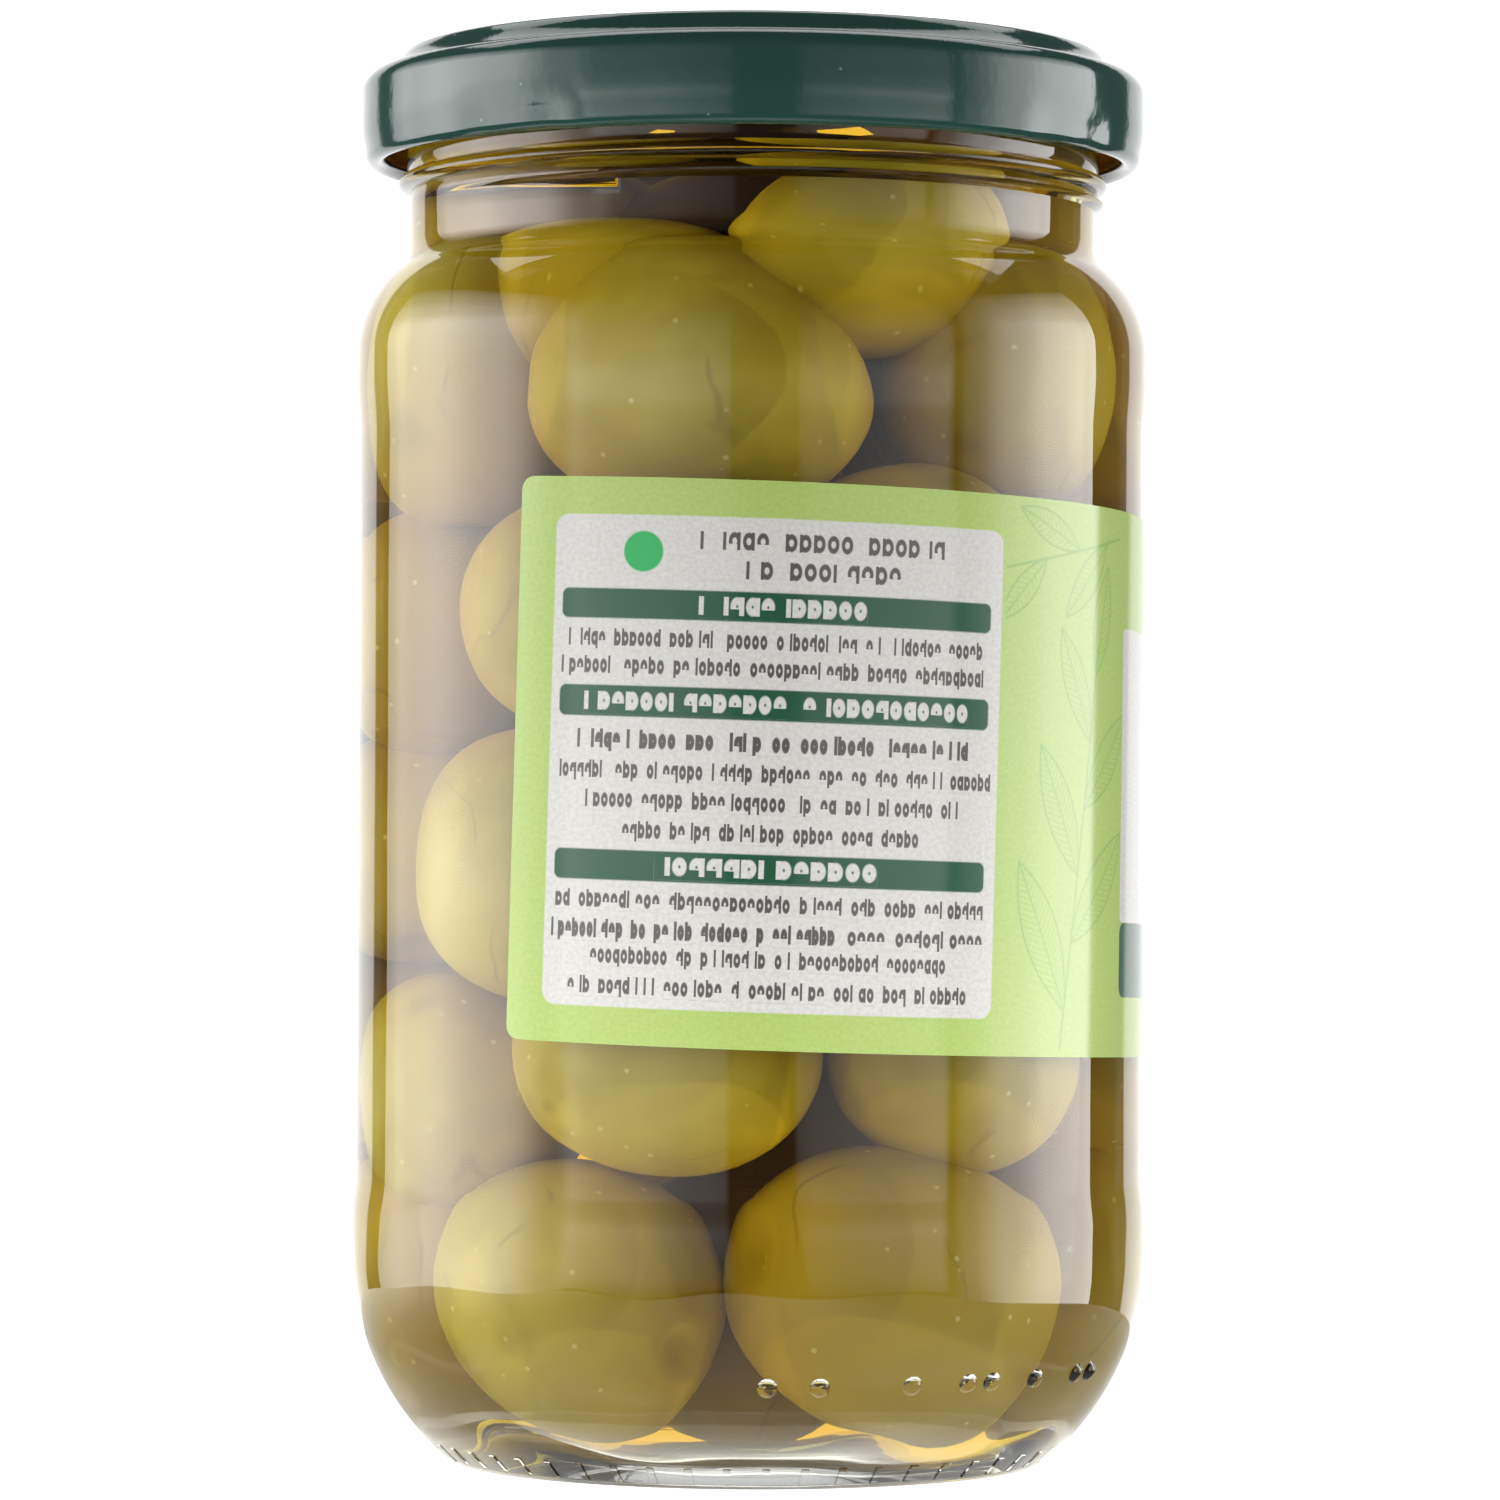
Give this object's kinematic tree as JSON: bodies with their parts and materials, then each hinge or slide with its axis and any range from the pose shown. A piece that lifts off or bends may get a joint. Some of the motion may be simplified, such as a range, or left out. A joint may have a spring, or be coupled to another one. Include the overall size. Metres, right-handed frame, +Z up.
{
  "type": "jar of olives",
  "caption": "Clear round glass jar packed with whole green olives in brine, closed by a dark green twist-off lid and wrapped in a pale green paper label.",
  "frame": {"origin": "centre of the ring that the jar stands on", "axes": "+Z up through the lid, -Y is the front that the picture shows, +X to its right"},
  "size_m": [0.0706, 0.0706, 0.1249],
  "materials": {
    "clear_glass": "clear smooth soda-lime glass with a faint green tint",
    "lid_lacquer": "glossy dark green lacquer on pressed steel",
    "label_paper": "printed semi-gloss paper, light green with an off-white panel and dark green bars",
    "olive_skin": "smooth wet skin of green olives, slightly mottled"
  },
  "bodies": {
    "root": {"glass_jar": "clear_glass", "lid": "lid_lacquer", "label": "label_paper", "olives": "olive_skin"}
  },
  "joints": []
}
